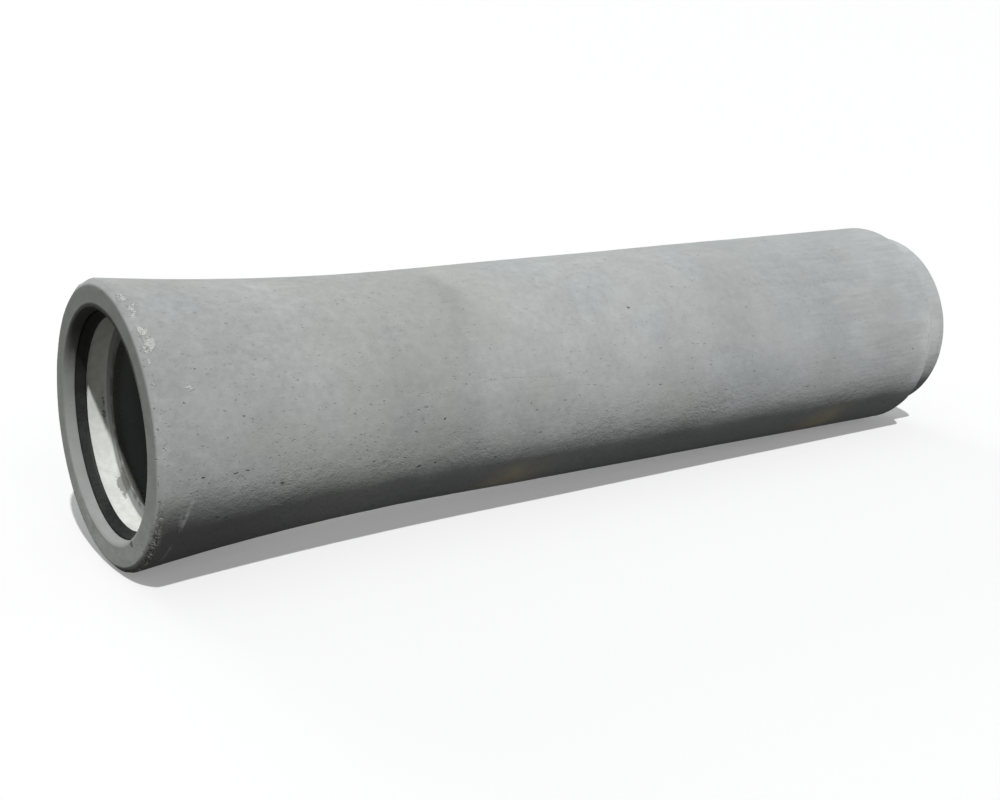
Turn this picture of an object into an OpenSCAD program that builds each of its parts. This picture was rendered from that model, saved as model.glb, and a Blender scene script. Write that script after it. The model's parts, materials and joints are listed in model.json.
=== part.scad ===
// Concrete sewer pipe with a flared socket at one end, a stepped spigot at the other, and a
// rubber seal ring cast into the socket's mouth. It lies on a level floor, unheld, touching it
// with the socket's rim and with the end of its barrel.
// All lengths are in millimetres. +X runs from the socket to the spigot, and Z is up.

/* [Barrel] */
// Bore, which is the pipe's nominal size
bore_d = 450; // [300:5:600]
// Thickness of the barrel's wall
wall = 80; // [60:1:110]
// Laying length: from the socket's face to the end of the barrel
laying_length = 2500; // [1200:5:3000]
// Rounding of the barrel's end edge
end_round = 9; // [2:0.5:15]

/* [Socket] */
// How far the rim stands out from the barrel, before its edge is rounded
rim_rise = 45; // [20:1:90]
// How far the flat face stops short of the rim, on the radius
lip_height = 16; // [8:1:30]
// How far the rim's edge lies behind the face
lip_length = 13; // [8:0.5:30]
// Rounding of the rim's edge
rim_round = 7; // [1:0.5:12]
// Length over which the flare runs out into the barrel
flare_length = 800; // [300:10:1100]
// How much wider the mouth is than the wall behind it, on the radius
mouth_taper = 3; // [0:0.5:8]
// Rounding of the mouth's edge
mouth_round = 12; // [1:0.5:18]
// Rounding where the socket's shoulder turns into the bore
shoulder_round = 5; // [1:0.5:10]

/* [Spigot] */
// How far the spigot steps in from the barrel's outside, on the radius
spigot_step = 37; // [25:1:45]
// Length of the spigot, beyond the barrel's end
spigot_length = 97; // [65:1:140]
// Chamfer round the spigot's tip
tip_chamfer = 4; // [2:0.5:14]
// Gap all round between a spigot and the socket's wall
joint_gap = 4; // [1:0.5:10]
// Gap left between a spigot's end and the socket's shoulder
end_gap = 8; // [3:1:30]

/* [Seal] */
// Distance of the seal's front edge from the socket's face
seal_front = 28; // [15:1:35]
// Length of the seal along the pipe
seal_length = 28; // [22:1:34]
// How far the seal's crest reaches inside the spigot's size, on the radius
seal_squeeze = 12; // [6:0.5:20]
// Length of the crest, where the seal grips
crest_length = 5; // [3:0.5:8]
// How deep the seal's foot is cast into the wall
foot_depth = 8; // [3:0.5:14]

/* [Hidden] */
$fn = 180;
arc_steps = 5;
flare_steps = 20;
small_round = 3;
inner_round = 5;
undercut = 5;

bore_r = bore_d / 2;
barrel_r = bore_r + wall;
rim_r = barrel_r + rim_rise;
face_r = rim_r - lip_height;
spigot_r = barrel_r - spigot_step;
socket_r = spigot_r + joint_gap;
mouth_r = socket_r + mouth_taper;
groove_r = socket_r + foot_depth;
crest_r = spigot_r - seal_squeeze;
total_length = laying_length + spigot_length;
socket_depth = spigot_length + end_gap;
seal_back = seal_front + seal_length;
crest_back = seal_back - undercut;
crest_front = crest_back - crest_length;

concrete = [0.62, 0.62, 0.60];
rubber = [0.10, 0.10, 0.11];

// A profile's point is [radius, distance from the socket's face]. A corner adds its rounding.

function unit(v) = v / norm(v);

// The angle from one direction to another, between -180 and 180.
function turn(from, to) = let (d = to - from) d > 180 ? d - 360 : d < -180 ? d + 360 : d;

// The corner at p between neighbours a and b, as an arc that touches both sides.
function arc(a, p, b, radius) =
    let (
        u = unit(a - p),
        v = unit(b - p),
        half = acos(u * v) / 2,
        mid = p + unit(u + v) * radius / sin(half),
        first = p + u * radius / tan(half) - mid,
        last = p + v * radius / tan(half) - mid,
        start = atan2(first.y, first.x),
        sweep = turn(start, atan2(last.y, last.x))
    )
    [for (i = [0:arc_steps]) let (t = start + sweep * i / arc_steps) mid + radius * [cos(t), sin(t)]];

// A closed outline from corners [radius, distance, rounding].
function rounded(corners) =
    let (n = len(corners), at = [for (c = corners) [c.x, c.y]])
    [for (i = [0:n - 1], q = corners[i][2] > 0
        ? arc(at[(i + n - 1) % n], at[i], at[(i + 1) % n], corners[i][2])
        : [at[i]]) q];

// The flare: a parabola from the rim down to the barrel, level where it meets it.
function flare_r(s) = barrel_r + rim_rise * pow(1 - (s - lip_length) / flare_length, 2);

flare = [for (i = [1:flare_steps])
    let (s = lip_length + flare_length * pow(i / flare_steps, 1.4)) [flare_r(s), s, 0]];

outside = concat(
    [[face_r, 0, small_round], [rim_r, lip_length, rim_round]],
    flare,
    [[barrel_r, laying_length, end_round],
     [spigot_r, laying_length, inner_round],
     [spigot_r, total_length - tip_chamfer, small_round],
     [spigot_r - tip_chamfer, total_length, small_round]]
);

inside = [
    [bore_r, total_length, small_round],
    [bore_r, socket_depth, shoulder_round],
    [socket_r, socket_depth, inner_round],
    [socket_r, seal_back, 0],
    [groove_r, seal_back, 0],
    [groove_r, seal_front, 0],
    [socket_r, seal_front, 0],
    [mouth_r, 0, mouth_round]
];

// The seal: its foot in the groove, a wedge that rises to the crest, and an undercut behind it.
seal_outline = [
    [groove_r, seal_front, 0],
    [groove_r, seal_back, 0],
    [socket_r, seal_back, 0],
    [crest_r + 9, crest_back + 1, 2],
    [crest_r, crest_back, 1],
    [crest_r, crest_front, small_round],
    [socket_r - 3, seal_front, 1.5],
    [socket_r, seal_front, 0]
];

pipe_profile = rounded(concat(outside, inside));

// The lean at which the rim and the barrel's end both touch the floor.
floor_end = laying_length - end_round;
lean = max([for (p = pipe_profile) if (p.y < flare_length) atan((p.x - barrel_r) / (floor_end - p.y))]);

// Where the leaning pipe ends, so that the origin is under its middle and on the floor.
lift = max([for (p = pipe_profile) p.x * cos(lean) + p.y * sin(lean)]);
x_low = min([for (p = pipe_profile) p.y * cos(lean) - p.x * sin(lean)]);
x_high = max([for (p = pipe_profile) p.y * cos(lean) + p.x * sin(lean)]);

module lying() {
    translate([-(x_low + x_high) / 2, 0, lift])
        rotate([0, 90 + lean, 0])
            children();
}

module pipe() {
    color(concrete)
        lying()
            rotate_extrude()
                polygon(pipe_profile);
}

module seal_ring() {
    color(rubber)
        lying()
            rotate_extrude()
                polygon(rounded(seal_outline));
}

pipe();
seal_ring();
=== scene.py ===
import json
import math
import bpy
import numpy as np
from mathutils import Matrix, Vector


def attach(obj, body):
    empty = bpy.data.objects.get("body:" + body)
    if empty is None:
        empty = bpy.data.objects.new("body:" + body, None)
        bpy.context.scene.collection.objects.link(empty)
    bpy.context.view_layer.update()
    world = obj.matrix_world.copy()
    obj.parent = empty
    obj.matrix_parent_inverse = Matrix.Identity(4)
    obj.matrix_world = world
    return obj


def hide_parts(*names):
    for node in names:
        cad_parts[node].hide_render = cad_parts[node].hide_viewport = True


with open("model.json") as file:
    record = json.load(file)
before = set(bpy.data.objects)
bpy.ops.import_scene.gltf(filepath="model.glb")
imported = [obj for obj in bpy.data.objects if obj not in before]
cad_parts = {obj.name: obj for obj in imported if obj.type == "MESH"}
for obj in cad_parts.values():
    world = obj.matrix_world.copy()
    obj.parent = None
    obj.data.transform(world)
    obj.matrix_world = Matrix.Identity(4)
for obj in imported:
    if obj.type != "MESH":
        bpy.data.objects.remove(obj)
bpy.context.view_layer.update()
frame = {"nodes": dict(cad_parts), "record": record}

mounts = {m["name"]: m for m in frame["record"]["mounts"]}
print("frame loaded:", sorted(frame["nodes"]))


# Directions and places, all worked out from the frame's mounts.

def point(name):
    # the place of a mount
    return np.array(mounts[name]["pos_m"], float)


def radius(name):
    # the radius of a mount: its millimetres over 1000
    return mounts[name]["dims"]["r_mm"] / 1000


axis = np.array(mounts["bore"]["axis"], float)
axis /= np.linalg.norm(axis)
top = np.array([0.0, 0.0, 1.0]) - axis[2] * axis
top /= np.linalg.norm(top)
side = np.cross(axis, top)          # level, towards the camera's side
mouth = point("bore") + axis * ((point("socket_face") - point("bore")) @ axis)


def alongAxis(name):
    # how far a mount lies behind the face: (place - mouth) . axis
    return float((point(name) - mouth) @ axis)


def inPlace(s, r, turn):
    # A place from its distance behind the face, its radius and its turn from the top:
    # mouth + s * axis + r * (cos(turn) * top + sin(turn) * side).
    outward = np.multiply.outer(np.cos(turn), top) + np.multiply.outer(np.sin(turn), side)
    return mouth + np.multiply.outer(s, axis) + np.asarray(r)[..., None] * outward


def lumps(places, size, seed):
    # Smooth value noise from -1 to 1: a table of random numbers on a lattice, blended between
    # the eight nearest corners with 3t^2 - 2t^3.
    table = np.random.default_rng(seed).uniform(-1, 1, (32, 32, 32))
    q = places / size + 100.5
    cell = np.floor(q).astype(int)
    t = q - cell
    t = t * t * (3 - 2 * t)
    total = 0
    for corner in np.ndindex(2, 2, 2):
        near = (cell + corner) % 32
        share = np.prod(np.where(corner, t, 1 - t), axis=-1)
        total = total + share * table[near[..., 0], near[..., 1], near[..., 2]]
    return total


def hump(distance, reach):
    # exp(-(distance / reach)^2): one at the middle, fading over the reach
    return np.exp(-(np.asarray(distance) / reach) ** 2)


def step(value, low, high):
    # 0 below low, 1 above high, and 3t^2 - 2t^3 between
    t = np.clip((value - low) / (high - low), 0, 1)
    return t * t * (3 - 2 * t)


def angleBetween(a, b):
    # the turn from b to a, between -pi and pi
    return (a - b + np.pi) % (2 * np.pi) - np.pi


def roundedOutline(corners, arcSteps=6):
    # Straight sides between corners (s, r, rounding), each corner an arc that touches both
    # sides: centre = p + bisector * radius / sin(half), from tangent point to tangent point.
    at = np.array([c[:2] for c in corners], float)
    count = len(at)
    points = []
    for i, (_, _, rounding) in enumerate(corners):
        p = at[i]
        u = at[i - 1] - p
        v = at[(i + 1) % count] - p
        u /= np.linalg.norm(u)
        v /= np.linalg.norm(v)
        if rounding <= 0:
            points.append(p[None])
            continue
        half = math.acos(np.clip(u @ v, -1, 1)) / 2
        middle = p + (u + v) / np.linalg.norm(u + v) * rounding / math.sin(half)
        first = p + u * rounding / math.tan(half) - middle
        last = p + v * rounding / math.tan(half) - middle
        start = math.atan2(first[1], first[0])
        sweep = angleBetween(math.atan2(last[1], last[0]), start)
        t = start + sweep * np.linspace(0, 1, arcSteps + 1)
        points.append(middle + rounding * np.stack([np.cos(t), np.sin(t)], 1))
    return np.concatenate(points)


def walked(points, spacing):
    # Points along an open line, a step apart, where spacing(places) gives the step: the step
    # count is the integral of 1 / spacing along the line, cut into equal parts.
    length = np.concatenate([[0], np.cumsum(np.linalg.norm(np.diff(points, axis=0), axis=1))])
    fine = np.linspace(0, length[-1], 12000)
    places = np.stack([np.interp(fine, length, points[:, k]) for k in (0, 1)], 1)
    pace = 1 / spacing(places)
    count = np.concatenate([[0], np.cumsum((pace[1:] + pace[:-1]) / 2 * np.diff(fine))])
    rows = max(2, int(round(count[-1])))
    stops = np.interp(np.linspace(0, count[-1], rows + 1), count, fine)
    return np.stack([np.interp(stops, length, points[:, k]) for k in (0, 1)], 1)


def outlineNormals(points):
    # Across the closed outline's direction at each point, from its two neighbours.
    along = np.roll(points, -1, 0) - np.roll(points, 1, 0)
    along /= np.linalg.norm(along, axis=1)[:, None]
    return np.stack([-along[:, 1], along[:, 0]], 1)


def bandFaces(rows, first, columns):
    # Four-sided faces of a band of rows, closed round the turn.
    i = first + np.arange(rows - 1)[:, None] * columns
    j = np.arange(columns)[None]
    k = (j + 1) % columns
    return np.stack([i + j, i + k, i + columns + k, i + columns + j], -1).reshape(-1, 4)


def joinFaces(fine, coarse, columns, fineFirst):
    # Three triangles for each column of the coarse row, where a row of twice the columns
    # meets it. The order turns over with the side that the fine row is on.
    j = np.arange(columns)
    k = (j + 1) % columns
    a, b, c = fine + 2 * j, fine + 2 * j + 1, fine + 2 * k
    d, e = coarse + j, coarse + k
    faces = np.concatenate([np.stack(t, 1) for t in ((a, b, d), (b, e, d), (b, c, e))])
    return faces if fineFirst else faces[:, ::-1]


def makePiece(name, places, quads, triangles, attributes):
    # A smooth mesh of the places and faces. Each attribute is one number a point, kept
    # between 0 and 1.
    mesh = bpy.data.meshes.new(name)
    mesh.from_pydata(places.tolist(), [], quads.tolist() + triangles.tolist())
    mesh.polygons.foreach_set("use_smooth", np.ones(len(mesh.polygons), bool))
    for key, values in attributes.items():
        layer = mesh.attributes.new(key, "FLOAT", "POINT")
        layer.data.foreach_set("value", np.clip(values, 0, 1).astype(np.float32))
    mesh.validate()
    mesh.update()
    piece = bpy.data.objects.new(name, mesh)
    bpy.context.scene.collection.objects.link(piece)
    print(name, len(mesh.vertices), "points", len(mesh.polygons), "faces")
    return piece


pipe = {
    "barrelRadius": 0.305,
    "rimRadius": 0.350,
    "faceRadius": 0.334,
    "lipLength": 0.013,
    "rimRound": 0.007,
    "flareLength": 0.800,
    "mouthRadius": 0.275,
    "mouthRound": 0.012,
    "mouthEdge": 0.289,             # where its rounding meets the flat face
    "socketRadius": 0.272,
    "socketDepth": 0.105,
    "grooveRadius": 0.280,
    "grooveFront": 0.028,
    "grooveBack": 0.056,
    "endRound": 0.009,
    "tipChamfer": 0.004,
    "fineReach": 0.165,             # how far from the face the fine band goes
    "columns": 240,                 # round the barrel; the fine band has twice as many
    "waveDepth": 0.0010,            # long waves left by the mould
    "lumpDepth": 0.00035,
    "wornDepth": 0.0022,            # of the rim's edge and the barrel's end
    "rimChips": 90,
    "endChips": 50,
    "seed": 11,
}
# The larger broken places: distance behind the face, turn from the top in degrees, length
# along the pipe, length round it, and depth. All but the turn are in millimetres.
pipe["chips"] = [
    (12, 19, 16, 30, 3.0), (16, 26, 12, 22, 2.2), (14, 42, 14, 26, 2.6), (18, 48, 10, 16, 2.0),
    (13, 118, 10, 30, 3.5), (15, 126, 14, 36, 4.5), (12, 133, 12, 24, 3.5), (16, 141, 16, 40, 5.0),
    (13, 150, 12, 30, 4.0), (10, 210, 14, 30, 4.0), (14, 245, 12, 24, 3.0), (12, 320, 12, 26, 3.0),
    (2498, 70, 14, 36, 3.5), (2500, 200, 16, 40, 4.0), (2499, 300, 12, 30, 3.0),
]
# How light the skin is, from 0 to 1, at distances behind the face in metres.
pipe["skinLevels"] = [
    (0.0, 0.50), (0.03, 0.49), (0.20, 0.48), (0.30, 0.49), (0.55, 0.46), (0.65, 0.38), (0.84, 0.35),
    (0.89, 0.55), (1.2, 0.56), (2.2, 0.57), (2.42, 0.63), (2.495, 0.68), (2.51, 0.72), (2.6, 0.76),
]
# How pitted and how rough the skin is, in the same way.
pipe["pittedLevels"] = [(0.0, 0.9), (0.8, 0.9), (1.0, 0.50), (1.6, 0.42), (2.0, 0.08), (2.6, 0.05)]
pipe["roughLevels"] = [
    (0.0, 0.75), (0.9, 0.7), (1.05, 0.3), (1.2, 0.9), (1.6, 1.0), (1.9, 0.35), (2.6, 0.12),
]
# How dark the painted shade is on the inner and the outer part of the face, at turns from the top in
# degrees.
pipe["innerFaceLevels"] = [(-180, 0.35), (-115, 0.42), (-80, 0.85), (50, 0.85), (110, 0.65), (180, 0.35)]
pipe["outerFaceLevels"] = [(-180, 0.48), (-115, 0.78), (-80, 1.00), (50, 0.95), (110, 0.75), (180, 0.48)]
# The damp streak across the pipe: distance behind the face, half width and strength. The pit in
# the face: turn in degrees and reach.
pipe["streak"] = (0.85, 0.032, 0.26)
pipe["facePit"] = (147, 0.0090)
# White flakes of lime: distance behind the face, turn in degrees, length, turn in radians
# that each covers, and strength.
pipe["limePatches"] = [
    (0.020, 21, 0.012, 0.050, 1.0), (0.024, 29, 0.013, 0.060, 1.0), (0.034, 25, 0.010, 0.05, 0.7),
    (0.026, 40, 0.012, 0.045, 1.0), (0.030, 45, 0.016, 0.055, 1.1), (0.019, 48, 0.009, 0.040, 1.0),
    (0.016, 53, 0.006, 0.030, 1.1), (0.017, 61, 0.006, 0.030, 0.6), (0.097, 64, 0.009, 0.022, 0.75),
    (0.240, 56, 0.007, 0.014, 0.7), (0.150, 33, 0.006, 0.012, 0.5), (0.018, 83, 0.006, 0.04, 0.5),
    (0.030, 200, 0.014, 0.08, 0.9), (0.026, 262, 0.012, 0.07, 1.0), (0.022, 318, 0.010, 0.06, 0.9),
]
# Brown earth, and in the first two rows painted warm light bounced up onto the underside:
# distance behind the face, turn in degrees, length, and the turn in radians that each covers.
pipe["earthPatches"] = [
    (1.03, 142, 0.075, 0.22), (2.15, 140, 0.075, 0.20), (0.45, 182, 0.20, 0.2), (1.62, 195, 0.16, 0.25),
]
# Scratches: two ends, each a distance behind the face and a turn in degrees, then half the
# width in metres and the strength.
pipe["scratches"] = [
    (0.087, 108, 0.082, 113, 0.0060, 0.60), (0.080, 112, 0.068, 122, 0.0065, 0.80),
    (0.062, 114, 0.064, 119, 0.0060, 0.45), (0.058, 130, 0.050, 143, 0.0055, 0.45),
    (0.300, 120, 0.350, 124, 0.0030, 0.35), (0.018, 121, 0.026, 132, 0.0040, 0.40),
    (0.112, 217, 0.134, 217.5, 0.0014, 0.60), (0.112, 213, 0.128, 213.6, 0.0014, 0.50),
    (0.111, 209, 0.122, 208.5, 0.0014, 0.45), (0.640, 205, 0.700, 225, 0.0040, 0.50),
    (1.900, 262, 2.020, 266, 0.0030, 0.50),
]
# Dark marks along the pipe, in the same way.
pipe["drawnLines"] = [
    (0.93, 77.0, 1.08, 79.5, 0.0022, 0.30), (0.98, 83.5, 1.13, 84.5, 0.0022, 0.22),
    (1.02, 80.0, 1.20, 79.0, 0.0018, 0.20), (2.535, 78, 2.535, 88, 0.0040, 0.45),
    (2.575, 96, 2.577, 103, 0.0040, 0.45), (2.485, 86, 2.487, 91, 0.0045, 0.35),
]
# Single holes: distance behind the face, turn in degrees, half length and half width in metres.
pipe["holes"] = [
    (0.075, 69.5, 0.0042, 0.0032), (0.108, 99, 0.0050, 0.0022), (0.222, 99.8, 0.0050, 0.0022),
    (0.192, 100, 0.0055, 0.0016), (0.755, 92.5, 0.0042, 0.0040), (0.158, 120, 0.0050, 0.0040),
    (0.180, 121.5, 0.0065, 0.0030), (0.930, 119, 0.0055, 0.0040), (0.700, 116, 0.0060, 0.0038),
    (0.745, 115.5, 0.0040, 0.0030), (0.562, 108, 0.0042, 0.0034), (0.216, 77.5, 0.0040, 0.0024),
    (0.118, 57, 0.0030, 0.0026), (0.315, 109.5, 0.0050, 0.0040), (1.372, 50, 0.0050, 0.0030),
    (2.498, 118, 0.0060, 0.0080),
]


def levelAt(value, name):
    # straight lines between the listed levels
    return np.interp(value, *np.array(pipe[name]).T)


def flareRadius(s):
    # barrel + rise * (1 - (s - lip) / length)^2: level where it meets the barrel
    rise = pipe["rimRadius"] - pipe["barrelRadius"]
    t = np.clip((s - pipe["lipLength"]) / pipe["flareLength"], 0, 1)
    return pipe["barrelRadius"] + rise * (1 - t) ** 2


def pipeOutline():
    # One closed line of (s, r): from inside the bore, out round the socket, along the flare
    # and barrel, over the spigot and back down the bore.
    barrelEnd, end = alongAxis("barrel_end"), alongAxis("spigot_end")
    bore, spigot, socket = radius("bore"), radius("spigot"), pipe["socketRadius"]
    s = pipe["lipLength"] + pipe["flareLength"] * np.linspace(0, 1, 60)[2:] ** 1.4
    flare = [(a, b, 0) for a, b in zip(s, flareRadius(s))]
    corners = [
        (pipe["fineReach"], bore, 0),
        (pipe["socketDepth"], bore, 0.005),
        (pipe["socketDepth"], socket, 0.005),
        (pipe["grooveBack"], socket, 0),
        (pipe["grooveBack"], pipe["grooveRadius"], 0),
        (pipe["grooveFront"], pipe["grooveRadius"], 0),
        (pipe["grooveFront"], socket, 0),
        (0, pipe["mouthRadius"], pipe["mouthRound"]),
        (0, pipe["faceRadius"], 0.003),
        (pipe["lipLength"], pipe["rimRadius"], pipe["rimRound"]),
    ] + flare + [
        (barrelEnd, pipe["barrelRadius"], pipe["endRound"]),
        (barrelEnd, spigot, 0.005),
        (end - pipe["tipChamfer"], spigot, 0.003),
        (end, spigot - pipe["tipChamfer"], 0.003),
        (end, bore, 0.003),
    ]
    return roundedOutline(corners)


def pipeSpacing(places):
    # A short step at each edge, growing away from it up to the stretch's longest step.
    s, r = places[:, 0], places[:, 1]
    barrelEnd, end = alongAxis("barrel_end"), alongAxis("spigot_end")
    edges = [
        (0, pipe["mouthRadius"], 0.0022), (0, pipe["faceRadius"], 0.0022),
        (pipe["lipLength"], pipe["rimRadius"], 0.0022),
        (pipe["socketDepth"], radius("bore"), 0.0022),
        (pipe["socketDepth"], pipe["socketRadius"], 0.003),
        (barrelEnd, pipe["barrelRadius"], 0.003), (barrelEnd, radius("spigot"), 0.004),
        (end, radius("spigot"), 0.002), (end, radius("bore"), 0.003),
    ]
    inBore = (r < radius("bore") + 0.001) & (s > pipe["fineReach"])
    hidden = (r > pipe["socketRadius"] + 0.0005) & (r < pipe["grooveRadius"] + 0.0005)
    hidden &= (s > pipe["grooveFront"] - 0.0005) & (s < pipe["grooveBack"] + 0.0005)
    longest = np.where(inBore, 0.12, np.where(s < pipe["fineReach"], 0.0055, 0.021))
    wanted = np.full(len(s), 1.0)
    for a, b, shortest in edges:
        wanted = np.minimum(wanted, shortest + 0.13 * np.hypot(s - a, r - b))
    return np.where(hidden, 0.008, np.minimum(wanted, longest))


def chipAway(places, normals, s, r, turn, chips, seed):
    # Each chip is an egg-shaped bite: a point inside the egg goes out to its skin, so the
    # surface becomes a shallow dish with a crisp border. Returns places and how broken each is.
    broken = np.zeros(len(places))
    ragged = lumps(places, 0.009, seed) * 0.22
    for at, degrees, long, wide, deep in chips:
        near = np.abs(s - at / 1000) < 0.06
        near &= np.abs(angleBetween(turn, math.radians(degrees))) < 0.25
        near &= r > 0.29
        if not near.any():
            continue
        off = np.abs(s - at / 1000) + np.abs(angleBetween(turn, math.radians(degrees))) * r
        off = np.where(near, off, 9.0)
        seat = int(np.argmin(off))
        n = normals[seat]
        out = inPlace(np.zeros(1), np.ones(1), np.array([math.radians(degrees)]))[0] - mouth
        across = np.cross(axis, out)
        along = np.cross(across, n)
        half = np.array([long / 2000, wide / 2000, 0.6 * long / 2000 + deep / 1000])
        centre = places[seat] + n * (half[2] - deep / 1000)
        rel = places[near] - centre
        q = np.stack([rel @ along, rel @ across, rel @ n], 1) / half
        size = np.linalg.norm(q, axis=1)
        skin = 1 + ragged[near]
        inside = size < skin
        scale = np.where(inside, skin / np.maximum(size, 1e-6), 1.0)
        scale = np.minimum(scale, 1 + 2.2 * deep / 1000 / half.min())
        moved = centre + (q * scale[:, None] * half) @ np.stack([along, across, n])
        places[near] = np.where(inside[:, None], moved, places[near])
        broken[near] = np.maximum(broken[near], inside.astype(float))
    return places, broken


def scatterChips():
    # Small chips along the rim's edge and the face's edge, more of them low on the rim, then
    # others round the barrel's end. Each is drawn evenly between two limits.
    draw = np.random.default_rng(pipe["seed"])
    chips = []
    for _ in range(pipe["rimChips"]):
        low = draw.random() < 0.5
        degrees = draw.uniform(105, 165) if low else draw.uniform(0, 360)
        at = draw.uniform(1, 17)
        long = draw.uniform(3, 10)
        chips.append((at, degrees, long, long * draw.uniform(1, 2.6), draw.uniform(0.6, 1.8)))
    for _ in range(pipe["endChips"]):
        long = draw.uniform(8, 16)
        at = alongAxis("barrel_end") * 1000 - draw.uniform(0, 4)
        chips.append((at, draw.uniform(0, 360), long, long * draw.uniform(1, 2.5), draw.uniform(0.8, 2.2)))
    return chips


def makePipe():
    # The outline is cut into rows, and each row goes round the axis: fine columns near the
    # mouth, half as many along the barrel. Relief, chips and marks are worked out on the whole.
    outline = pipeOutline()
    reach = pipe["fineReach"]
    outer = int(np.argmax((outline[:, 0] > reach) & (outline[:, 1] > pipe["barrelRadius"])))
    meet = np.array([[reach, float(flareRadius(reach))]])
    fineRows = walked(np.concatenate([outline[:outer], meet]), pipeSpacing)
    coarseRows = walked(np.concatenate([meet, outline[outer:], outline[:1]]), pipeSpacing)[1:-1]
    rows = np.concatenate([fineRows, coarseRows])
    across = outlineNormals(rows)

    columns = pipe["columns"]
    counts = np.concatenate([np.full(len(fineRows), 2 * columns), np.full(len(coarseRows), columns)])
    s, r, ns, nr = (np.repeat(v, counts) for v in (*rows.T, *across.T))
    turn = np.concatenate([np.tile(np.arange(n) * 2 * np.pi / n, k) for n, k in
                           ((2 * columns, len(fineRows)), (columns, len(coarseRows)))])
    places = inPlace(s, r, turn)
    outward = inPlace(np.zeros_like(s), np.ones_like(s), turn) - mouth
    normals = ns[:, None] * axis + nr[:, None] * outward

    # Relief, always inwards: long waves left by the mould, small lumps, and worn edges.
    outside = step(r, 0.283, 0.290)
    rim = hump(np.hypot(s - pipe["lipLength"], r - pipe["rimRadius"]), 0.012)
    end = hump(np.hypot(s - alongAxis("barrel_end"), r - pipe["barrelRadius"]), 0.012)
    wave = pipe["waveDepth"] * (lumps(places, 0.30, 1) - 1) * outside
    small = pipe["lumpDepth"] * (lumps(places, 0.035, 2) - 1)
    rubbed = step(lumps(places, 0.05, 3) + 0.4 * lumps(places, 0.016, 4), -0.1, 1.0)
    worn = -pipe["wornDepth"] * (rim + end) * rubbed
    places = places + normals * (wave + small + worn)[:, None]

    chips = pipe["chips"] + scatterChips()
    places, broken = chipAway(places, normals, s, r, turn, chips, 5)

    quads = np.concatenate([
        bandFaces(len(fineRows), 0, 2 * columns),
        bandFaces(len(coarseRows), len(fineRows) * 2 * columns, columns)])
    last = (len(fineRows) - 1) * 2 * columns
    start = len(fineRows) * 2 * columns
    triangles = np.concatenate([
        joinFaces(last, start, columns, True),
        joinFaces(0, start + (len(coarseRows) - 1) * columns, columns, False)])
    # The outline runs with the solid on one side, so every face may need turning over.
    if enclosed(places, quads, triangles) < 0:
        quads, triangles = quads[:, ::-1], triangles[:, ::-1]
    attributes = pipeMarks(s, r, turn, places, broken)
    return makePiece("concretePipe", places, quads, triangles, attributes)


def enclosed(places, quads, triangles):
    # Volume inside the faces: a sixth of the sum of a . (b x c) over triangles.
    t = np.concatenate([quads[:, [0, 1, 2]], quads[:, [0, 2, 3]], triangles])
    a, b, c = (places[t[:, k]] - mouth for k in range(3))
    return float((a * np.cross(b, c)).sum() / 6)


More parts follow.
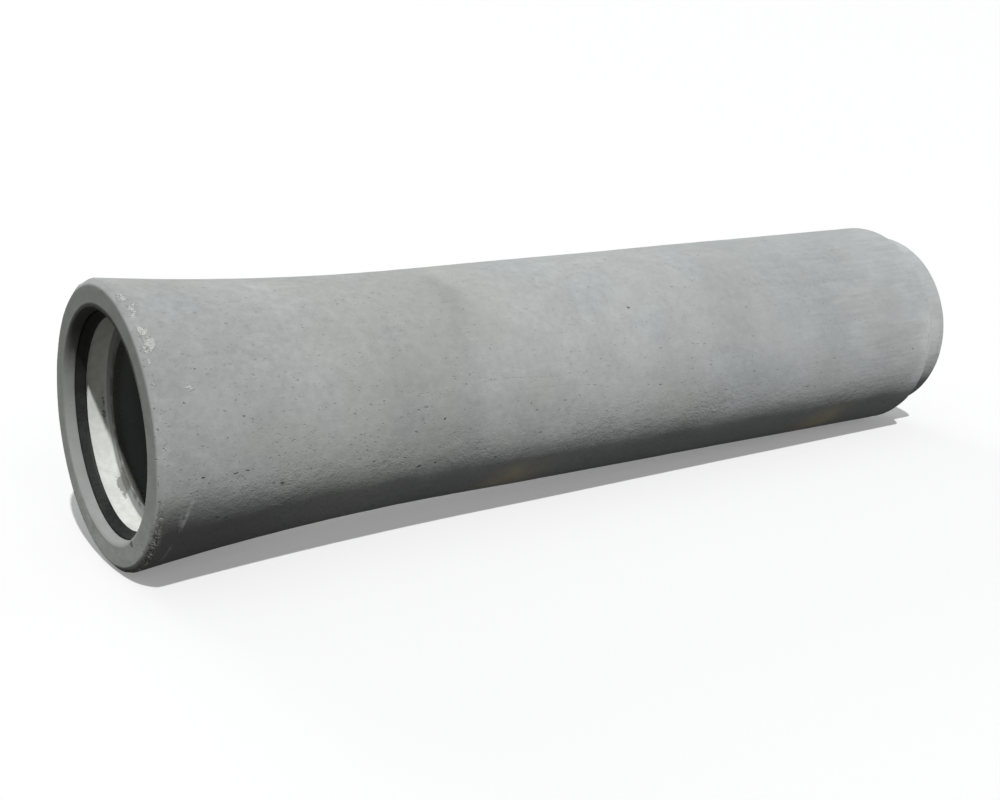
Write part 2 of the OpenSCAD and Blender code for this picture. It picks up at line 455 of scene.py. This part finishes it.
def pipeMarks(s, r, turn, places, broken):
    # Where each finish shows, from 0 to 1, for the material to read: sums and products of
    # humps and steps over the distance behind the face, the radius and the turn, with lumps.
    degrees = np.degrees(angleBetween(turn, 0))
    mouthEdge = pipe["mouthEdge"]
    outside = (r > 0.290) | ((s > 2.45) & (r > 0.264))
    # Painted shade on the underside: a dark band from about 109 degrees down, reaching higher and stronger
    # near the mouth.
    low = np.abs(degrees) + 4 * lumps(places, 0.10, 33) + 9 * hump(s, 0.24) + 4 * hump(s - 0.4, 0.25)
    under = step(low, 109, 130) * (0.60 + 0.40 * step(-s, -0.60, -0.10))
    wobble = s + 0.030 * lumps(places, 0.13, 21) + 0.010 * lumps(places, 0.04, 22)

    # How light the cement skin is: a run of levels along the pipe, patches of three sizes, a
    # damp dark streak across, a pale smear where the spigot starts, painted shade over the top
    # and a painted highlight on the upper lip.
    level = levelAt(wobble, "skinLevels")
    patches = 0.10 * lumps(places, 0.34, 23) + 0.09 * lumps(places, 0.12, 24)
    patches = patches + 0.07 * lumps(places, 0.045, 25)
    at, reach, strength = pipe["streak"]
    streak = strength * hump(wobble - at, reach) * step(degrees, 5, 20) * step(-degrees, -54, -38)
    smear = hump(wobble - 2.485, 0.035) * step(degrees, 66, 84) * step(-degrees, -134, -122)
    spread = hump(wobble - 2.53, 0.03) * step(degrees, 70, 90) * step(-degrees, -142, -128)
    smear = np.maximum(smear, spread)
    skin = level + patches - streak + 0.48 * smear
    # Painted shade: the top of the pipe is a little darker.
    skin = skin - 0.05 * step(-np.abs(degrees - 10), -60, -30)
    # Painted highlight: the lip is lighter on its upper side.
    lip = step(r, 0.335, 0.339) * step(-s, -0.016, -0.011)
    skin = skin + 0.12 * lip * step(-np.abs(degrees - 20), -80, -50)

    pitted = levelAt(s, "pittedLevels") + 0.35 * lumps(places, 0.16, 26)
    rough = levelAt(s, "roughLevels") * step(np.abs(degrees), 88, 112)
    rough = rough * np.clip(0.7 + 0.6 * lumps(places, 0.09, 27), 0, 1)
    drag = step(s, 1.75, 2.38) * (0.6 + 0.4 * lumps(places, 0.11, 28))

    lime = np.zeros_like(s)
    for at, angle, long, wide, most in pipe["limePatches"]:
        across = hump(angleBetween(turn, math.radians(angle)), wide)
        lime = np.maximum(lime, most * hump(s - at, long) * across)
    # Earth, and painted warm bounced light from the first two patches.
    earth = np.zeros_like(s)
    for at, angle, long, wide in pipe["earthPatches"]:
        across = hump(angleBetween(turn, math.radians(angle)), wide)
        earth = np.maximum(earth, hump(s - at, long) * across)

    # Inside the socket: its pale wall, the shoulder's worn edge, the bore, two dirty places,
    # a small pit in the face, and the shade over the seal.
    wall = (r < 0.2735) & (r > 0.266) & (s > 0.040) & (s < 0.1055)
    shoulder = (s > 0.1045) & (s < 0.125) & (r < 0.2665) & (r > 0.2245)
    bore = (r < 0.2255) & (s > 0.108)
    smudge = hump(degrees + 140, 8.5) * step(s, 0.086, 0.100) * (r < 0.273) * (s < 0.108)
    smudge = np.maximum(smudge, 0.8 * hump(s - 0.098, 0.006) * hump(degrees + 96, 12) * (r < 0.273))
    at, reach = pipe["facePit"]
    pit = np.hypot(r - mouthEdge, angleBetween(turn, math.radians(at)) * mouthEdge)
    pit = hump(pit, reach) * (s < 0.02)
    throat = (s < 0.030) * (r < 0.290) * step(-np.abs(degrees), -80, -40)
    # Painted shade on the face: darker in its outer part, and all over in its upper half, with a mottled
    # tone from the lumps.
    edge = mouthEdge + 0.030 * hump(np.abs(degrees) - 180, 36) + 0.007 * lumps(places, 0.05, 34)
    edge = edge + 0.004 * lumps(places, 0.015, 35)
    inner = levelAt(degrees, "innerFaceLevels")
    outer = levelAt(degrees, "outerFaceLevels")
    face = inner + (outer - inner) * step(r - edge, -0.010, 0.012) + 0.14 * lumps(places, 0.03, 36)
    face = face * np.where(r < 0.29, s < 0.03, (s < 0.008) * step(-r, -0.3375, -0.335))
    crumbled = hump(np.hypot(s - 0.010, r - 0.346), 0.0115)
    crumbled = crumbled * (0.45 * step(-np.abs(degrees - 126), -40, -16) + 0.55 * hump(degrees - 131, 12))
    # Painted shade: a dark band round the bore's edge, just behind the shoulder.
    boreEdgeShade = hump(s - 0.108, 0.022) * (r < 0.2260) * (s > 0.1)
    tint = 0.45 + 0.35 * lumps(places, 0.10, 29) + 0.35 * lumps(places, 0.33, 30)
    worn = np.clip(0.75 + 0.8 * lumps(places, 0.012, 32), 0, 1)
    return {
        "skin": skin,
        "tint": tint - 0.3 * step(s, 0.9, 1.2),
        "under": under * outside * np.where(s < 0.012, step(r, 0.336, 0.343), 1),
        "pitted": pitted * outside,
        "rough": rough * outside * np.where(s < 0.012, 0.25, 1),
        "drag": drag * outside,
        "broken": broken,
        "lime": lime * outside,
        "earth": earth * (0.75 + 0.5 * lumps(places, 0.05, 31)) * outside,
        "wall": wall.astype(float),
        "shoulder": shoulder * step(-r, -0.246, -0.234) * worn,
        "bore": bore.astype(float),
        "smudge": smudge,
        "pit": pit,
        "throat": throat.astype(float),
        "face": face,
        "crumbled": crumbled,
        "paintedBoreEdgeShade": boreEdgeShade,
    }


seal = {
    "front": 0.028,
    "back": 0.056,
    "undercut": 0.005,
    "crestLength": 0.005,
    "wander": 0.0005,
    "spacing": 0.0017,
    "columns": 360,
}


def makeSeal():
    # A closed outline turned about the axis: a foot in the groove, a wedge up to the crest.
    # The free skin wanders by a fraction of a millimetre, as soft rubber does.
    socket, groove, crest = pipe["socketRadius"], pipe["grooveRadius"], radius("seal_crest")
    crestBack = seal["back"] - seal["undercut"]
    outline = roundedOutline([
        (seal["front"], groove, 0),
        (seal["back"], groove, 0),
        (seal["back"], socket, 0),
        (crestBack + 0.001, crest + 0.009, 0.002),
        (crestBack, crest, 0.001),
        (crestBack - seal["crestLength"], crest, 0.003),
        (seal["front"], socket - 0.003, 0.0015),
        (seal["front"], socket, 0),
    ])
    closed = np.concatenate([outline, outline[:1]])
    rows = walked(closed, lambda places: np.full(len(places), seal["spacing"]))[:-1]
    across = outlineNormals(rows)
    columns = seal["columns"]
    s, r, ns, nr = (np.repeat(v, columns) for v in (*rows.T, *across.T))
    turn = np.tile(np.arange(columns) * 2 * np.pi / columns, len(rows))
    places = inPlace(s, r, turn)
    outward = inPlace(np.zeros_like(s), np.ones_like(s), turn) - mouth
    normals = ns[:, None] * axis + nr[:, None] * outward
    free = step(socket - r, 0.0005, 0.004)
    wander = seal["wander"] * (lumps(places, 0.06, 31) + 0.4 * lumps(places, 0.012, 32))
    places = places + normals * (wander * free)[:, None] * np.sign(nr.sum())
    count = len(rows)
    first = np.arange(count)[:, None] * columns
    nextRow = (np.arange(count)[:, None] + 1) % count * columns
    j = np.arange(columns)[None]
    k = (j + 1) % columns
    quads = np.stack([first + j, first + k, nextRow + k, nextRow + j], -1).reshape(-1, 4)
    none = np.zeros((0, 3), int)
    if enclosed(places, quads, none) < 0:
        quads = quads[:, ::-1]
    marks = {
        "crest": hump(s - 0.049, 0.006) * free,
        "upper": step(-np.abs(np.degrees(angleBetween(turn, 0))), -105, -45),
    }
    return makePiece("rubberSeal", places, quads, none, marks)


class Wire:
    # One socket. Arithmetic on it adds Math nodes to its tree, so 1 - mask works as it reads.
    def __init__(self, tree, socket):
        self.tree, self.socket = tree, socket

    def math(self, operation, *others):
        # operation(self, others) as one node
        node = self.tree.nodes.new("ShaderNodeMath")
        node.operation = operation
        for slot, value in zip(node.inputs, (self, *others)):
            plug(self.tree, value, slot)
        return Wire(self.tree, node.outputs[0])

    def __add__(self, other):
        return self.math("ADD", other)

    def __radd__(self, other):
        return self.math("ADD", other)

    def __sub__(self, other):
        return self.math("SUBTRACT", other)

    def __rsub__(self, other):
        return (self * -1).math("ADD", other)

    def __mul__(self, other):
        return self.math("MULTIPLY", other)

    def __rmul__(self, other):
        return self.math("MULTIPLY", other)

    def __truediv__(self, other):
        return self.math("DIVIDE", other)

    def __rtruediv__(self, other):
        return self.math("POWER", -1) * other

    def most(self, other):
        return self.math("MAXIMUM", other)

    def least(self, other):
        return self.math("MINIMUM", other)


def plug(tree, value, socket):
    # Links a wire to the socket, or sets the socket's own value.
    if isinstance(value, Wire):
        tree.links.new(value.socket, socket)
    elif isinstance(value, (tuple, list)) and socket.type == "RGBA" and len(value) == 3:
        socket.default_value = (*value, 1)
    else:
        socket.default_value = value


class Finish:
    # The node tree of a material or a world, with one method that makes any node.
    def __init__(self, owner):
        self.owner = owner
        owner.use_nodes = True
        self.tree = owner.node_tree
        self.tree.nodes.clear()

    def node(self, kind, settings=None, sockets=None):
        # any node: its settings first, then the values or links of its sockets
        made = self.tree.nodes.new("ShaderNode" + kind)
        for key, value in (settings or {}).items():
            setattr(made, key, value)
        for key, value in (sockets or {}).items():
            found = [i for i in made.inputs if i.identifier == key] or [made.inputs[key]]
            plug(self.tree, value, found[0])
        return made

    def out(self, made, name=0):
        # one output of a node, ready for arithmetic
        return Wire(self.tree, made.outputs[name])

    def ramp(self, value, low, high, toLow=0.0, toHigh=1.0):
        # 0 at low and 1 at high along 3t^2 - 2t^3, stretched to run from toLow to toHigh
        sockets = {"Value": value, "From Min": low, "From Max": high, "To Min": toLow, "To Max": toHigh}
        return self.out(self.node("MapRange", {"interpolation_type": "SMOOTHSTEP"}, sockets))

    def mark(self, name):
        # the number that the mesh carries under this name
        return self.out(self.node("Attribute", {"attribute_name": name}), "Fac")

    def noise(self, vector, scale, detail, rough):
        # noise about 0.5: each finer layer is half the size and rough times as strong
        sockets = {"Vector": vector, "Scale": scale, "Detail": detail, "Roughness": rough}
        return self.out(self.node("TexNoise", None, sockets), "Fac")

    def cells(self, vector, scale):
        # distance to the nearest of many scattered centres, and two random numbers for it
        made = self.node("TexVoronoi", {"feature": "F1"}, {"Vector": vector, "Scale": scale})
        split = self.node("SeparateColor", None, {"Color": self.out(made, "Color")})
        return self.out(made, "Distance"), self.out(split, "Red"), self.out(split, "Green")

    def vector(self, operation, first, second):
        # operation(first, second), for each of the three parts
        sockets = {"Vector": first, "Vector_001": second}
        return self.out(self.node("VectorMath", {"operation": operation}, sockets))

    def dot(self, vector, direction):
        # vector . direction, a single number
        sockets = {"Vector": vector, "Vector_001": tuple(map(float, direction))}
        return self.out(self.node("VectorMath", {"operation": "DOT_PRODUCT"}, sockets), "Value")

    def spots(self, along, arc, spots, ragged):
        # An oval's size at a point is the square of its distance over its halves. The least of
        # all, with a ragged part added, is inside below 1.
        least = None
        for at, degrees, long, wide in spots:
            a = (along - at) / long
            b = (arc - math.radians(degrees) * pipe["barrelRadius"]) / wide
            size = a * a + b * b
            least = size if least is None else least.least(size)
        return self.ramp(least + ragged, 1.5, 0.5)

    def strokes(self, along, arc, strokes):
        # Distance to each line: the point's part along it, kept between the ends, then the
        # square of what is left over, against the square of the half width.
        most = None
        for at, degrees, toAt, toDegrees, half, strength in strokes:
            y = math.radians(degrees) * pipe["barrelRadius"]
            u = toAt - at
            v = math.radians(toDegrees) * pipe["barrelRadius"] - y
            p, q = along - at, arc - y
            share = ((p * u + q * v) / (u * u + v * v)).most(0.0).least(1.0)
            a, b = p - share * u, q - share * v
            near = self.ramp((a * a + b * b) / (half * half), 1.0, 0.0) * strength
            most = near if most is None else most.most(near)
        return most

    def mix(self, factor, first, second):
        # first * (1 - factor) + second * factor, for colours
        sockets = {"Factor_Float": factor, "A_Color": first, "B_Color": second}
        made = self.node("Mix", {"data_type": "RGBA"}, sockets)
        return Wire(self.tree, [o for o in made.outputs if o.identifier == "Result_Color"][0])

    def finish(self, colour, roughness, height, distance, powdery=0.6):
        # the surface itself: its relief is height * distance, felt through the normal alone
        bump = self.node("Bump", None, {"Height": height, "Distance": distance, "Strength": 1.0})
        sockets = {"Base Color": colour, "Roughness": roughness, "Normal": self.out(bump),
                   "Diffuse Roughness": powdery, "Specular IOR Level": 0.35}
        skin = self.node("BsdfPrincipled", None, sockets)
        self.node("OutputMaterial", None, {"Surface": self.out(skin)})
        return self.owner


concrete = {
    "darkSkin": (0.270, 0.281, 0.281),
    "lightSkin": (0.548, 0.569, 0.566),
    "warmSkin": (0.405, 0.412, 0.374),
    "dullWall": (0.700, 0.712, 0.672),
    "paleWall": (0.815, 0.828, 0.800),
    # painted shade laid on the underside
    "underside": (0.115, 0.118, 0.112),
    # painted shade laid on the face
    "face": (0.232, 0.238, 0.230),
    "darkGravel": (0.095, 0.090, 0.076),
    "lightGravel": (0.520, 0.515, 0.480),
    "bore": (0.190, 0.207, 0.210),
    # painted shade round the bore's edge
    "paintedBoreEdgeShade": (0.070, 0.072, 0.068),
    "shoulder": (0.150, 0.148, 0.130),
    "throat": (0.035, 0.037, 0.035),
    "grime": (0.190, 0.188, 0.170),
    # earth, and painted warm bounced light
    "earth": (0.560, 0.470, 0.300),
    "darkStone": (0.170, 0.163, 0.145),
    "lightStone": (0.500, 0.502, 0.480),
    "lime": (0.625, 0.636, 0.616),
    "hole": (0.085, 0.087, 0.084),
    "lumpScale": 42,                # noise and cells to the metre
    "grainScale": 190,
    "streakScale": 95,
    "wideHoleScale": 66,
    "smallHoleScale": 128,
    "roughness": 0.90,
    "relief": 0.0026,
}


def concreteFinish():
    # The tone runs from dark to light skin, and each finish is then mixed over it by its mark,
    # given a ragged border by noise. The height is lumps and grain, less holes and crumbs.
    finish = Finish(bpy.data.materials.new("castConcrete"))
    place = finish.out(finish.node("TexCoord"), "Object")
    lean = math.atan2(-axis[2], axis[0])

    def inLine(scale):
        # the place turned so that x runs along the pipe, then stretched
        return finish.out(finish.node("Mapping", None, {
            "Vector": place, "Rotation": (0.0, -lean, 0.0), "Scale": scale}))

    # Distance behind the face, and the arc from the top at the barrel's radius.
    along = finish.dot(place, axis) - float(mouth @ axis)
    aside, above = (finish.dot(place, d) - float(mouth @ d) for d in (side, top))
    arc = aside.math("ARCTAN2", above) * pipe["barrelRadius"]

    skin, tint, pitted, rough = (finish.mark(k) for k in ("skin", "tint", "pitted", "rough"))
    drag, broken, lime, earth = (finish.mark(k) for k in ("drag", "broken", "lime", "earth"))
    under = finish.mark("under")
    wall, shoulder, bore = finish.mark("wall"), finish.mark("shoulder"), finish.mark("bore")
    smudge, throat, face = finish.mark("smudge"), finish.mark("throat"), finish.mark("face")
    crumbled, paintedBoreEdgeShade = finish.mark("crumbled"), finish.mark("paintedBoreEdgeShade")

    middle = finish.noise(place, concrete["lumpScale"], 4, 0.62)
    grain = finish.noise(place, concrete["grainScale"], 2, 0.6)
    streak = finish.noise(inLine((0.10, 1.0, 1.0)), concrete["streakScale"], 2, 0.6)

    # Holes left by air: cells of two sizes, pushed out of shape, of which a share are open.
    # Each is a little longer along the pipe.
    push = finish.node("TexNoise", None, {"Vector": place, "Scale": 150, "Detail": 1.0})
    shift = finish.vector("SUBTRACT", finish.out(push, "Color"), (0.5, 0.5, 0.5))
    shift = finish.vector("MULTIPLY", shift, (0.011, 0.009, 0.009))
    bent = finish.vector("ADD", inLine((0.68, 1.0, 1.0)), shift)
    gap, pick, size = finish.cells(bent, concrete["wideHoleScale"])
    opened = finish.ramp(pick + pitted * 0.55, 0.80, 1.05)
    wide = finish.ramp(gap / (size * 0.17 + 0.07), 1.0, 0.45) * opened * (size * 0.6 + 0.4)
    gap, pick, size = finish.cells(bent, concrete["smallHoleScale"])
    opened = finish.ramp(pick + pitted * 0.5 + rough * 0.4, 0.65, 1.00)
    narrow = finish.ramp(gap / (size * 0.20 + 0.12), 1.0, 0.4) * opened * (size * 0.7 + 0.3)
    single = finish.spots(along, arc, pipe["holes"], (middle - 0.5) * 4.0 + (grain - 0.5) * 3.0 + 0.5)
    dent = finish.ramp(finish.mark("pit") + (middle - 0.5) * 1.2 + (grain - 0.5) * 0.8, 0.40, 0.62)
    single = single.most(dent * finish.ramp(finish.mark("pit"), 0.05, 0.25))
    hole = (wide * 0.75).most(narrow * 0.6) * (1 - wall) * (1 - bore * 0.5)

    # Whiter and darker than the skin: lime flakes with crisp borders, scratches and lines.
    flake = finish.ramp(lime + (middle - 0.5) * 2.4 + (grain - 0.5) * 2.0, 0.44, 0.70)
    flake = flake * finish.ramp(lime, 0.05, 0.30) * finish.ramp(grain, 0.30, 0.62, 0.35, 1.0)
    scratch = finish.strokes(along, arc, pipe["scratches"]) * finish.ramp(grain + middle, 0.80, 1.15)
    line = finish.strokes(along, arc, pipe["drawnLines"]) * finish.ramp(grain, 0.35, 0.6)

    tone = skin + (middle - 0.5) * (0.30 + pitted * 0.52)
    tone = tone + (grain - 0.5) * (0.06 + pitted * 0.16 + broken * 1.1)
    tone = tone + (streak - 0.5) * (0.12 + drag * 0.55)
    colour = finish.mix(tone.least(1.0).most(0.0), concrete["darkSkin"], concrete["lightSkin"])
    colour = finish.mix(tint * 0.55, colour, concrete["warmSkin"])
    pale = finish.mix(finish.ramp(middle, 0.3, 0.7), concrete["dullWall"], concrete["paleWall"])
    # painted shade on the underside
    colour = finish.mix(under * 0.88, colour, concrete["underside"])
    # painted shade on the face
    colour = finish.mix(face * 0.78, colour, concrete["face"])
    crumb = crumbled + (grain - 0.5) * 1.5 + (middle - 0.5) * 1.0
    crumb = finish.ramp(crumb, 0.42, 0.80) * finish.ramp(crumbled, 0.05, 0.25)
    gravel = finish.ramp(grain, 0.47, 0.60)
    gravel = finish.mix(gravel, concrete["darkGravel"], concrete["lightGravel"])
    colour = finish.mix(crumb * 0.72, colour, gravel)
    colour = finish.mix(wall, colour, pale)
    colour = finish.mix(bore * 0.8, colour, concrete["bore"])
    # painted shade round the bore's edge
    colour = finish.mix(paintedBoreEdgeShade * 0.85, colour, concrete["paintedBoreEdgeShade"])
    colour = finish.mix(shoulder * 0.75, colour, concrete["shoulder"])
    colour = finish.mix(throat * 0.90, colour, concrete["throat"])
    grime = finish.ramp(smudge + (middle - 0.5) * 1.2 + (grain - 0.5) * 1.4, 0.34, 0.76)
    grime = grime * finish.ramp(smudge, 0.05, 0.25)
    colour = finish.mix(grime * 0.75, colour, concrete["grime"])
    # earth, and painted warm bounced light on the underside
    colour = finish.mix(earth * 0.70, colour, concrete["earth"])
    stone = finish.mix(finish.ramp(grain, 0.46, 0.68), concrete["darkStone"], concrete["lightStone"])
    colour = finish.mix(broken * (0.22 + under * 0.40), colour, stone)
    colour = finish.mix((flake * 0.72).most(scratch * 0.62), colour, concrete["lime"])
    dark = (hole * 0.36).most(single * 0.72).most(line * 0.6)
    colour = finish.mix(dark, colour, concrete["hole"])

    roughness = concrete["roughness"] - wall * 0.25 + (streak - 0.5) * 0.1
    height = (middle - 0.5) * (0.50 + rough * 0.85)
    height = height + (grain - 0.5) * (0.18 + broken * 1.5 + rough * 0.70)
    height = height * (1 - wall * 0.8) + (streak - 0.5) * (0.06 + drag * 0.30) + flake * 0.9
    height = height - hole * (0.75 + rough * 0.10) - single * 1.3 - crumb * (1.6 - grain * 1.4)
    height = height + shoulder * (grain - 0.5) * 1.5
    return finish.finish(colour, roughness, height, concrete["relief"])


rubber = {
    "dark": (0.0080, 0.0088, 0.0084),
    "light": (0.0260, 0.0280, 0.0270),
    "dust": (0.050, 0.055, 0.050),
    "speck": (0.095, 0.104, 0.096),
    "shade": (0.0045, 0.0048, 0.0046),
    "grainScale": 300,
    "dustScale": 26,
    "speckScale": 150,
    "roughness": 0.66,
    "relief": 0.0006,
}


def rubberFinish():
    # Black with fine grain, then dust in soft patches, pale specks at some of the scattered
    # centres, and shade over the upper part. The crest is rubbed smoother.
    finish = Finish(bpy.data.materials.new("sealRubber"))
    place = finish.out(finish.node("TexCoord"), "Object")
    crest = finish.mark("crest")
    grain = finish.noise(place, rubber["grainScale"], 3, 0.6)
    dusty = finish.ramp(finish.noise(place, rubber["dustScale"], 4, 0.65), 0.45, 0.72)
    gap, pick, _ = finish.cells(place, rubber["speckScale"])
    speck = finish.ramp(gap, 0.36, 0.10) * finish.ramp(pick, 0.55, 1.0)
    colour = finish.mix(finish.ramp(grain, 0.3, 0.7), rubber["dark"], rubber["light"])
    colour = finish.mix(dusty * 0.5, colour, rubber["dust"])
    colour = finish.mix(speck * 0.45, colour, rubber["speck"])
    colour = finish.mix(finish.mark("upper") * 0.75, colour, rubber["shade"])
    roughness = rubber["roughness"] + dusty * 0.2 - crest * 0.12
    height = (grain - 0.5) * 0.5 + speck * 0.5
    return finish.finish(colour, roughness, height, rubber["relief"], 0.0)


concretePipe = makePipe()
concretePipe.data.materials.append(concreteFinish())
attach(concretePipe, "root")
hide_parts("pipe")
print("pipe made")

rubberSeal = makeSeal()
rubberSeal.data.materials.append(rubberFinish())
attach(rubberSeal, "root")
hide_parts("seal_ring")
print("seal made")


stage = {
    "floorSize": 700.0,
    "floorColour": (0.80, 0.80, 0.80, 1),
    "keyTurn": 34.0,                # from the top, towards the camera's side
    "keyForward": 12.6,             # out of the mouth's plane
    "keyPower": 2.65,
    "keySoft": 1.4,
    "backTurn": -74.0,              # soft light on the far side
    "backPower": 0.72,
    "backSoft": 32.0,
    "fillTurn": 68.0,               # soft light on the near side
    "fillPower": 0.50,
    "fillSoft": 40.0,
    "bounceSize": 0.5,
    "bouncePower": 0.34,
    "bounceColour": (1.0, 0.94, 0.77),
    "bounceAhead": 0.40,            # in front of the mouth
    "bounceAside": -0.08,
    "bounceHeight": 0.012,
    "skyPower": 0.185,
    "groundPower": 0.056,
    "skyColour": (0.97, 0.985, 1.0, 1),
    "floorGlow": 0.22,
}
view = {
    "aim": (-0.180, 0.0, 0.251),
    "distance": 4.235,
    "turn": 33.54,                  # from straight across the pipe, towards the mouth's side
    "height": 14.91,                # looking down by this much
    "lens": 55.52,
    "farthest": 1000,
}


def makeFloor():
    # A flat pale square about the origin. It takes shadows and throws no light back, so the
    # underside stays dark.
    half = stage["floorSize"] / 2
    corners = [(-half, -half, 0), (half, -half, 0), (half, half, 0), (-half, half, 0)]
    mesh = bpy.data.meshes.new("floor")
    mesh.from_pydata(corners, [], [(0, 1, 2, 3)])
    floor = bpy.data.objects.new("floor", mesh)
    bpy.context.scene.collection.objects.link(floor)
    paint = Finish(bpy.data.materials.new("floorPaint"))
    skin = paint.node("BsdfPrincipled", None, {
        "Base Color": stage["floorColour"], "Roughness": 0.9, "Specular IOR Level": 0.1,
        "Emission Color": (1, 1, 1, 1), "Emission Strength": stage["floorGlow"]})
    paint.node("OutputMaterial", None, {"Surface": paint.out(skin)})
    mesh.materials.append(paint.owner)
    floor.visible_diffuse = False
    floor.visible_glossy = False


def aimed(thing, direction):
    # Turns a light or a camera so that its -Z looks along the direction.
    thing.rotation_euler = Vector(direction).to_track_quat("-Z", "Y").to_euler()


def makeSun(name, turn, forward, power, soft):
    # Light from cos(forward) * (cos(turn) * top + sin(turn) * side) - sin(forward) * axis.
    turn, forward = math.radians(turn), math.radians(forward)
    towards = math.cos(forward) * (math.cos(turn) * top + math.sin(turn) * side) - math.sin(forward) * axis
    lamp = bpy.data.lights.new(name, "SUN")
    lamp.energy = power
    lamp.angle = math.radians(soft)
    sun = bpy.data.objects.new(name, lamp)
    bpy.context.scene.collection.objects.link(sun)
    aimed(sun, -towards)


def makeBounce():
    # Light thrown up from the floor in front of the mouth: a square lamp that lies there and
    # looks up.
    lamp = bpy.data.lights.new("mouthLight", "AREA")
    lamp.energy = stage["bouncePower"]
    lamp.size = stage["bounceSize"]
    lamp.color = stage["bounceColour"]
    bounce = bpy.data.objects.new("mouthLight", lamp)
    bpy.context.scene.collection.objects.link(bounce)
    ahead = mouth[0] - stage["bounceAhead"]
    bounce.location = (ahead, stage["bounceAside"], stage["bounceHeight"])
    aimed(bounce, (0.0, 0.0, 1.0))
    bounce.visible_camera = False


def makeSky():
    # Soft white from above, and very little from below: the strength follows 3t^2 - 2t^3 from
    # a tenth below the level to a tenth above it. What is seen directly is as pale as the floor.
    world = bpy.data.worlds.new("softSky")
    bpy.context.scene.world = world
    sky = Finish(world)
    coords = sky.out(sky.node("TexCoord"), "Generated")
    height = sky.out(sky.node("SeparateXYZ", None, {"Vector": coords}), "Z")
    strength = sky.ramp(height, -0.10, 0.10, stage["groundPower"], stage["skyPower"])
    seen = sky.out(sky.node("LightPath"), "Is Camera Ray")
    strength = seen + (1 - seen) * strength
    light = sky.node("Background", None, {"Color": stage["skyColour"], "Strength": strength})
    sky.node("OutputWorld", None, {"Surface": sky.out(light)})


def makeCamera():
    # At aim - distance * look, where look is level across the pipe, turned and tipped down.
    lens = bpy.data.cameras.new("camera")
    lens.lens, lens.sensor_width = view["lens"], 36.0
    camera = bpy.data.objects.new("camera", lens)
    bpy.context.scene.collection.objects.link(camera)
    turn, height = math.radians(view["turn"]), math.radians(view["height"])
    level = math.cos(height)
    look = np.array([level * math.sin(turn), level * math.cos(turn), -math.sin(height)])
    camera.location = np.array(view["aim"]) - view["distance"] * look
    aimed(camera, look)
    lens.clip_end = view["farthest"]
    bpy.context.scene.camera = camera


makeFloor()
makeSun("keyLight", stage["keyTurn"], stage["keyForward"], stage["keyPower"], stage["keySoft"])
makeSun("backLight", stage["backTurn"], 0.0, stage["backPower"], stage["backSoft"])
makeSun("fillLight", stage["fillTurn"], 0.0, stage["fillPower"], stage["fillSoft"])
makeBounce()
makeSky()
makeCamera()
bpy.context.scene.view_settings.view_transform = "Standard"
print("stage made")
